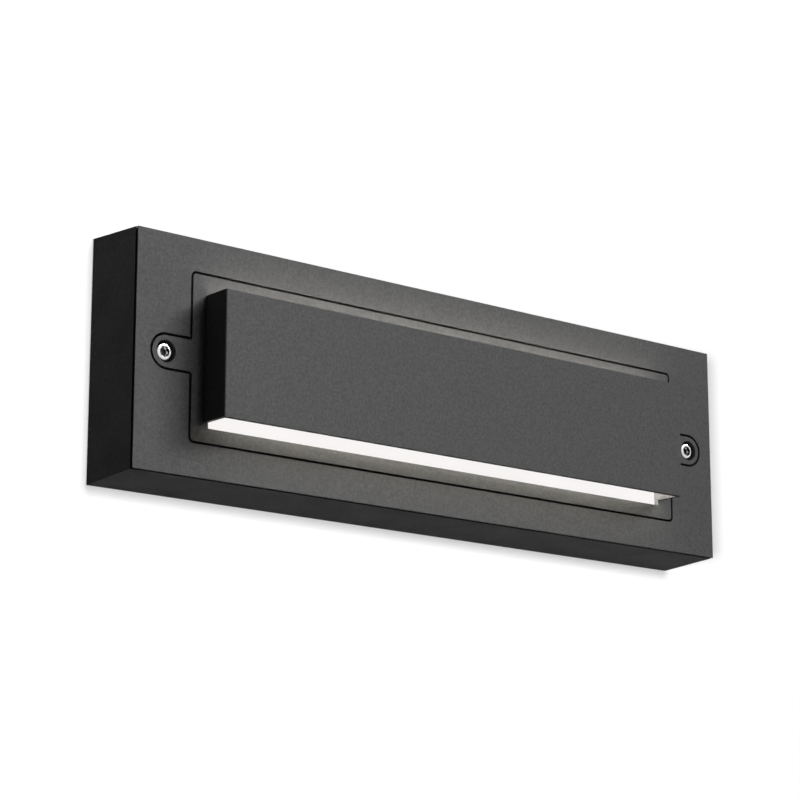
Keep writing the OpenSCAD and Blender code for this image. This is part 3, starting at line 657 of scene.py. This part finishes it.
def housing_openings():
    """Recess of the cover, room behind it, bores for the screws, cable entries and wall slots."""
    tools = [full_plate("recess", PLATE_GAP, FRONT_Y - CUT, LEDGE_Y),
             slab("opening", OPEN_W, OPEN_H, FRONT_Y - CUT, LEDGE_Y + LEDGE_T + CUT),
             rod("earth_bore", EARTH_BORE_R, -BACK_T - EARTH_BOSS_T - CUT, BOSS_BORE_END_Y,
                 EARTH_X, EARTH_Z)]
    for side in SIDES:
        tools += [
            ear_tool("ear_recess", side, PLATE_GAP, FRONT_Y - CUT, EAR_FLOOR_Y, PLATE_W / 2),
            rod("cover_bore", SHANK_R + THREAD_PLAY, EAR_FLOOR_Y - CUT, SHANK_END_Y + BORE_SPARE,
                side * SCREW_X),
            rod("driver_bore", DRIVER_BORE_R, -BACK_T - DRIVER_BOSS_T - CUT, BOSS_BORE_END_Y,
                side * DRIVER_SCREW_X),
            rod("entry", ENTRY_R, -BACK_T - CUT, CUT, ENTRY_X, side * ENTRY_Z),
            rod("block_bore", BLOCK_BORE_R, -BACK_T - CUT, BLOCK_BORE_END_Y,
                BLOCK_X, BLOCK_Z + side * BLOCK_SCREW_Z),
            wall_slot(side)]
    return tools


def make_housing():
    """Box, its seat and bosses, then everything that is cut out of it."""
    shell = housing_block()
    carve(shell, [slab("room_tool", ROOM_W, ROOM_H, FRONT_Y + WALL_T, -BACK_T)])
    carve(shell, housing_inside(), "UNION")
    carve(shell, housing_openings())
    shade(ease(shell, SOFT_R, 50))
    return place(shell, "housing", "powder_coat", FINISHES["powder_coat"], "housing")


# Front cover


def cover_hood():
    """Flat box hood, open above and below."""
    hood = slab("hood", HOOD_W, HOOD_H, HOOD_Y, FRONT_Y + PLATE_T / 2)
    bevel_edges(hood, HOOD_EDGE_R, 3, lambda e: middle(e).y < HOOD_Y + CUT and runs(e, Z))
    throat = slab("throat", HOOD_IN_W, 2 * HOOD_H, HOOD_Y + HOOD_FRONT_T, FRONT_Y + PLATE_T)
    bevel_edges(throat, THROAT_EDGE_R, 3,
                lambda e: middle(e).y < HOOD_Y + HOOD_FRONT_T + CUT and runs(e, Z))
    return carve(hood, [throat])


def cover_openings():
    """Window, seat of the pane, and bores for the screws."""
    back_y = FRONT_Y + PLATE_T + CUT
    seat_w, seat_h = PANE_W + 2 * SEAT_GAP, PANE_H + 2 * SEAT_GAP
    tools = [box("window", (-WINDOW_W / 2, FRONT_Y - CUT / 2, -WINDOW_H / 2),
                 (WINDOW_W / 2, back_y, HOOD_H / 2)),
             slab("pane_seat", seat_w, seat_h - 2 * NOTCH_Z, LIP_Y, back_y),
             slab("pane_seat", seat_w - 2 * NOTCH_X, seat_h, LIP_Y, back_y)]
    for side in SIDES:
        tools += [rod("head_well", HEAD_WELL_R, FRONT_Y - CUT, SEAL_BACK_Y, side * SCREW_X),
                  rod("shank_bore", SHANK_R + SHANK_PLAY, FRONT_Y, EAR_FLOOR_Y + CUT,
                      side * SCREW_X)]
    return tools + [rod("boss_bore", BOSS_BORE_R, PANE_BACK_Y - BOSS_BORE_D, PANE_BACK_Y + CUT,
                        x * BOSS_X, z * BOSS_Z, sides=24) for x, z in CORNERS]


def make_cover():
    """Plate, ears and hood in one casting."""
    plate = full_plate("cover_shell", 0, FRONT_Y, FRONT_Y + PLATE_T)
    inside_y = FRONT_Y + PLATE_T / 2
    parts = [ear_tool("ear_foot", side, 0, inside_y, EAR_FLOOR_Y, PLATE_W / 2 + PLATE_GAP)
             for side in SIDES]
    parts += [rod("boss", BOSS_R, inside_y, PANE_BACK_Y, x * BOSS_X, z * BOSS_Z)
              for x, z in CORNERS]
    carve(plate, parts + [cover_hood()], "UNION")
    carve(plate, cover_openings())
    shade(ease(plate, SOFT_R, 50))
    return place(plate, "light_unit", "powder_coat", FINISHES["powder_coat"], "front_cover")


def make_reflector():
    """White sheet behind the hood's front wall, its edges hemmed."""
    sheet_y = HOOD_Y + HOOD_FRONT_T
    sheet = slab("reflector_sheet", HOOD_IN_W, HOOD_H - 2 * SEAT_GAP, sheet_y,
                 sheet_y + REFLECTOR_T)
    edit(sheet)
    pick("FACE", lambda f: f.normal.y > ALIGNED)
    bpy.ops.mesh.inset(thickness=HEM_W, depth=0)
    bpy.ops.mesh.inset(thickness=HEM_SLOPE, depth=-HEM_T)
    done()
    shade(ease(sheet, HEM_R, 40))
    return place(sheet, "light_unit", "white_coat", FINISHES["white_coat"], "hood_reflector")


# Cover screws and their seals


def socket_tool():
    """Six-lobed socket: a round tool whose sides are drawn in between its lobes."""
    tool = rod("socket_tool", SOCKET_R, HEAD_Y - CUT, HEAD_Y + SOCKET_D, sides=SOCKET_SIDES)
    edit(tool)
    period, step = 2 * pi / LOBES, 2 * pi / SOCKET_SIDES
    for k in range(SOCKET_SIDES // LOBES // 2 + 1):
        share = 1 + LOBE_RISE * (cos(LOBES * k * step) - 1)

        def beside_a_lobe(vert):
            turn = atan2(vert.co.z, vert.co.x) % period
            return abs(min(turn, period - turn) - k * step) < step / 4

        pick("VERT", beside_a_lobe)
        bpy.ops.transform.resize(value=(share, 1, share), center_override=(0, HEAD_Y, 0))
    done()
    return tool


def screw_outline():
    """Pan head with a rounded rim, a bare neck and a ringed thread, as (radius, y) points."""
    outline = [(0, HEAD_Y), (HEAD_FLAT_R, HEAD_Y)]
    steps = 8
    for k in range(steps + 1):
        angle = pi / 2 * k / steps
        outline.append((HEAD_R - HEAD_RIM_R + HEAD_RIM_R * sin(angle),
                        HEAD_Y + HEAD_CROWN + HEAD_RIM_R * (1 - cos(angle))))
    y = UNDER_HEAD_Y + NECK_L
    outline += [(HEAD_R, UNDER_HEAD_Y - CORNER), (HEAD_R - CORNER, UNDER_HEAD_Y),
                (SHANK_R, UNDER_HEAD_Y), (SHANK_R, y), (ROOT_R, y + THREAD_START)]
    y += THREAD_START
    while y + PITCH < SHANK_END_Y - THREAD_END:
        outline += [(CREST_R, y + 0.32 * PITCH), (CREST_R, y + 0.45 * PITCH),
                    (ROOT_R, y + 0.77 * PITCH), (ROOT_R, y + PITCH)]
        y += PITCH
    return outline + [(ROOT_R, SHANK_END_Y - TIP_L), (ROOT_R - TIP_IN, SHANK_END_Y),
                      (0, SHANK_END_Y)]


def make_screws():
    """One screw, with its socket cut into the head, copied to both ends."""
    model = turned("cover_screw", screw_outline(), sides=64)
    carve(model, [socket_tool()])
    bevel_edges(model, CORNER, 2, lambda e: abs(middle(e).y - HEAD_Y) < HEAD_TOP
                and len(e.link_faces) == 2 and e.calc_face_angle() > radians(50))
    shade(model, 35)
    for side, node in zip(SIDES, ("left_screw", "right_screw")):
        screw = copy_along(model, f"{node}_bright", side * SCREW_X)
        place(screw, node, "stainless", FINISHES["stainless"], node)
    bpy.data.objects.remove(model)


def make_seals():
    """One sealing washer with a rounded rim, a hair thinner than its room, copied to both ends."""
    bore, y0, y1 = SHANK_R + SHANK_PLAY, UNDER_HEAD_Y + SEAL_PLAY, SEAL_BACK_Y - SEAL_PLAY
    model = turned("screw_seal", [
        (bore, y0), (SEAL_R - SEAL_CORNER, y0), (SEAL_R - SEAL_BULGE, y0 + SEAL_BULGE),
        (SEAL_R, y0 + SEAL_CORNER), (SEAL_R, y1 - SEAL_CORNER), (SEAL_R - SEAL_CORNER, y1),
        (bore, y1), (bore, y0)])
    shade(model, 35)
    for side, body, node in ((-1, "left_seal", "left_screw_seal"),
                             (1, "right_seal", "right_screw_seal")):
        seal = copy_along(model, f"{node}_ring", side * SCREW_X)
        place(seal, body, "rubber", FINISHES["rubber"], node)
    bpy.data.objects.remove(model)


# Inner pieces

INNER_NODES = ("light_tray", "driver_case", "driver_lid", "terminal_block", "led_socket",
               "led_plug", "diffuser", "cover_gasket", "pane_gasket", "driver_board",
               "driver_transformer")
LEAD_NODES = ("live_lead", "neutral_lead", "earth_lead", "output_leads")


def refined(node, width=INNER_R, angle=35):
    """Stands a copy of an inner node in its place, with its edges eased."""
    row = next(r for r in frame["record"]["subparts"] if r["node"] == node)
    piece = bpy.data.objects.new(f"{node}_eased", frame["nodes"][node].data.copy())
    bpy.context.scene.collection.objects.link(piece)
    use(piece)
    bpy.ops.mesh.customdata_custom_splitnormals_clear()
    edit(piece)
    bpy.ops.mesh.select_all(action="SELECT")
    bpy.ops.mesh.remove_doubles(threshold=CAD_MERGE)
    bpy.ops.mesh.dissolve_limited(angle_limit=FLAT)
    done()
    if width:
        ease(piece, width, angle)
    shade(piece, angle)
    return place(piece, frame["nodes"][node]["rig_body"], row["material_slot"], finish_of(row), node)


def make_leads():
    """Round sleeves: the leads' flat sides are smoothed away."""
    for node in LEAD_NODES:
        use(refined(node, 0, 60))
        bpy.ops.object.shade_smooth()


def grommet_outline(open_end):
    """Flange with a rounded rim, a ribbed nose and a waist that fills the bore."""
    wall_y = -BACK_T
    nose_y = wall_y - FLANGE_T
    tip_y = nose_y - NOSE_L
    outline = [(CABLE_R, FOOT_Y), (WAIST_R - FOOT_EDGE, FOOT_Y), (WAIST_R, FOOT_Y - FOOT_EDGE),
               (WAIST_R, wall_y), (FLANGE_R - FOOT_EDGE, wall_y), (FLANGE_R, wall_y - FOOT_EDGE),
               (FLANGE_R, nose_y + RIM_EDGE), (FLANGE_R - RIM_BULGE_X, nose_y + RIM_BULGE_Y),
               (FLANGE_R - RIM_EDGE, nose_y), (NOSE_R + NOSE_FOOT, nose_y)]
    for rib in range(NOSE_RIBS):
        y, radius = nose_y - rib * RIB_STEP, NOSE_R - rib * RIB_TAPER
        outline += [(radius, y - RIB_TOP_L), (radius - RIB_EDGE, y - RIB_EDGE_L),
                    (radius - RIB_D, y - RIB_L)]
    outline += [(TIP_R, tip_y + TIP_EDGE), (TIP_R - TIP_EDGE, tip_y)]
    if open_end:
        return outline + [(CABLE_R + TIP_EDGE, tip_y), (CABLE_R, tip_y + TIP_EDGE),
                          (CABLE_R, FOOT_Y)]
    return outline + [(DIMPLE_R, tip_y), (0, tip_y + DIMPLE_D), (0, nose_y), (CABLE_R, nose_y),
                      (CABLE_R, FOOT_Y)]


def make_grommet(node, z, open_end):
    """Rubber grommet, open for the cable or closed."""
    piece = turned(f"{node}_ribbed", grommet_outline(open_end), sides=64, x=ENTRY_X, z=z)
    shade(piece, 35)
    return place(piece, "housing", "rubber", FINISHES["rubber"], node)


# Stage and light


def seen_directly(nodes, links):
    """One where a surface is seen by the camera or in a reflection, and nought elsewhere."""
    path = nodes.new("ShaderNodeLightPath")
    either = nodes.new("ShaderNodeMath")
    either.operation = "MAXIMUM"
    links.new(path.outputs["Is Camera Ray"], either.inputs[0])
    links.new(path.outputs["Is Glossy Ray"], either.inputs[1])
    all_three = nodes.new("ShaderNodeMath")
    all_three.operation = "MAXIMUM"
    links.new(either.outputs[0], all_three.inputs[0])
    links.new(path.outputs["Is Transmission Ray"], all_three.inputs[1])
    return all_three.outputs[0]


def pale_surface(name, ground, glow):
    """Matt pale surface that keeps its shadows, with a faint glow of its own."""
    material = bpy.data.materials.new(name)
    material.use_nodes = True
    shader = material.node_tree.nodes["Principled BSDF"]
    shader.inputs["Base Color"].default_value = (ground, ground, ground, 1)
    shader.inputs["Roughness"].default_value = 1
    shader.inputs["Specular IOR Level"].default_value = 0
    shader.inputs["Emission Color"].default_value = (1, 1, 1, 1)
    shader.inputs["Emission Strength"].default_value = glow
    return material


def make_floor():
    """Far below the light, white where it is seen and dark to the light itself."""
    clear_selection()
    bpy.ops.mesh.primitive_plane_add(size=STAGE_SIZE, location=(0, 0, FLOOR_Z))
    floor = settle(named("floor"))
    material = pale_surface("pale_floor", FLOOR_WHITE, 0)
    nodes, links = material.node_tree.nodes, material.node_tree.links
    links.new(seen_directly(nodes, links), nodes["Principled BSDF"].inputs["Emission Strength"])
    floor.data.materials.append(material)
    return floor


def make_backdrop():
    """Wall behind the light. Only its front is there, so the light's back shows from behind."""
    clear_selection()
    bpy.ops.mesh.primitive_plane_add(size=STAGE_SIZE, location=(0, WALL_Y, 0),
                                     rotation=(pi / 2, 0, 0))
    wall = settle(named("backdrop"))
    material = pale_surface("pale_backdrop", WALL_WHITE, WALL_GLOW)
    nodes, links = material.node_tree.nodes, material.node_tree.links
    side = nodes.new("ShaderNodeNewGeometry")
    shown = nodes.new("ShaderNodeMath")
    shown.operation = "SUBTRACT"
    shown.use_clamp = True
    links.new(seen_directly(nodes, links), shown.inputs[0])
    links.new(side.outputs["Backfacing"], shown.inputs[1])
    mix = nodes.new("ShaderNodeMixShader")
    links.new(shown.outputs[0], mix.inputs["Fac"])
    links.new(nodes.new("ShaderNodeBsdfTransparent").outputs[0], mix.inputs[1])
    links.new(nodes["Principled BSDF"].outputs[0], mix.inputs[2])
    links.new(mix.outputs[0], nodes["Material Output"].inputs["Surface"])
    wall.data.materials.append(material)
    return wall


def make_world():
    """White where it is seen, and a faint fill light elsewhere."""
    world = bpy.data.worlds.new("studio")
    bpy.context.scene.world = world
    world.use_nodes = True
    nodes, links = world.node_tree.nodes, world.node_tree.links
    level = ranged(nodes, links, seen_directly(nodes, links), 0, 1, AMBIENT, 1)
    nodes["Background"].inputs["Color"].default_value = (1, 1, 1, 1)
    links.new(level, nodes["Background"].inputs["Strength"])


def group(name, members):
    """Collection of what a lamp shines on."""
    collection = bpy.data.collections.new(name)
    for member in members:
        collection.objects.link(member)
    return collection


def lamp(name, azimuth, rise, distance, half_angle, level, lit, aim_x=0, beam=180):
    """Square soft lamp that stands in a direction in degrees and shines on one group. A level of 1
    shows a colour that faces the lamp as it is written."""
    data = bpy.data.lights.new(name, "AREA")
    data.shape = "SQUARE"
    data.size = 2 * distance * tan(radians(half_angle))
    data.energy = level * (pi * distance) ** 2
    data.spread = radians(beam)
    piece = bpy.data.objects.new(name, data)
    bpy.context.scene.collection.objects.link(piece)
    a, e = radians(azimuth), radians(rise)
    piece.location = distance * Vector((sin(a) * cos(e), -cos(a) * cos(e), sin(e)))
    beam_back = piece.location - Vector((aim_x, 0, 0))
    piece.rotation_euler = beam_back.to_track_quat("Z", "Y").to_euler()
    piece.visible_camera = False
    piece.light_linking.receiver_collection = lit
    return piece


def make_light(floor, wall):
    """One set of lamps for the light itself, and one that gives the wall its soft shadow."""
    parts = [o for o in bpy.context.scene.objects if o.type == "MESH" and o not in (floor, wall)]
    on_parts, on_wall = group("lit_parts", parts), group("lit_wall", [wall])
    # Narrow beams that are aimed past the left end, so the front grows darker to the right
    for azimuth, level in ((8, 0.023), (30, 0.033), (50, 0.061)):
        lamp("grid_softbox", azimuth, 34, distance=5, half_angle=9, level=level, lit=on_parts,
             aim_x=-1.15, beam=36)
    lamp("low_softbox", 66, -38, distance=0.6, half_angle=16, level=0.035, lit=on_parts)
    lamp("wall_lamp", -0.5, 6.5, distance=4, half_angle=4.6, level=0.65, lit=on_wall)
    lamp("wall_lamp_left", -47.9, -11.6, distance=10, half_angle=3.8, level=0.88, lit=on_wall)
    lamp("rear_lamp", 180, 30, distance=3, half_angle=12, level=0.9, lit=on_parts)
    make_world()


def main():
    """Builds the light, piece by piece, and then its stage."""
    set_camera()
    bpy.context.scene.view_settings.view_transform = "Standard"
    dress_nodes()
    make_housing()
    make_cover()
    make_reflector()
    make_screws()
    make_seals()
    make_grommet("cable_grommet", ENTRY_Z, True)
    make_grommet("spare_grommet", -ENTRY_Z, False)
    for node in INNER_NODES:
        refined(node)
    make_leads()
    make_light(make_floor(), make_backdrop())


main()
clear_selection()
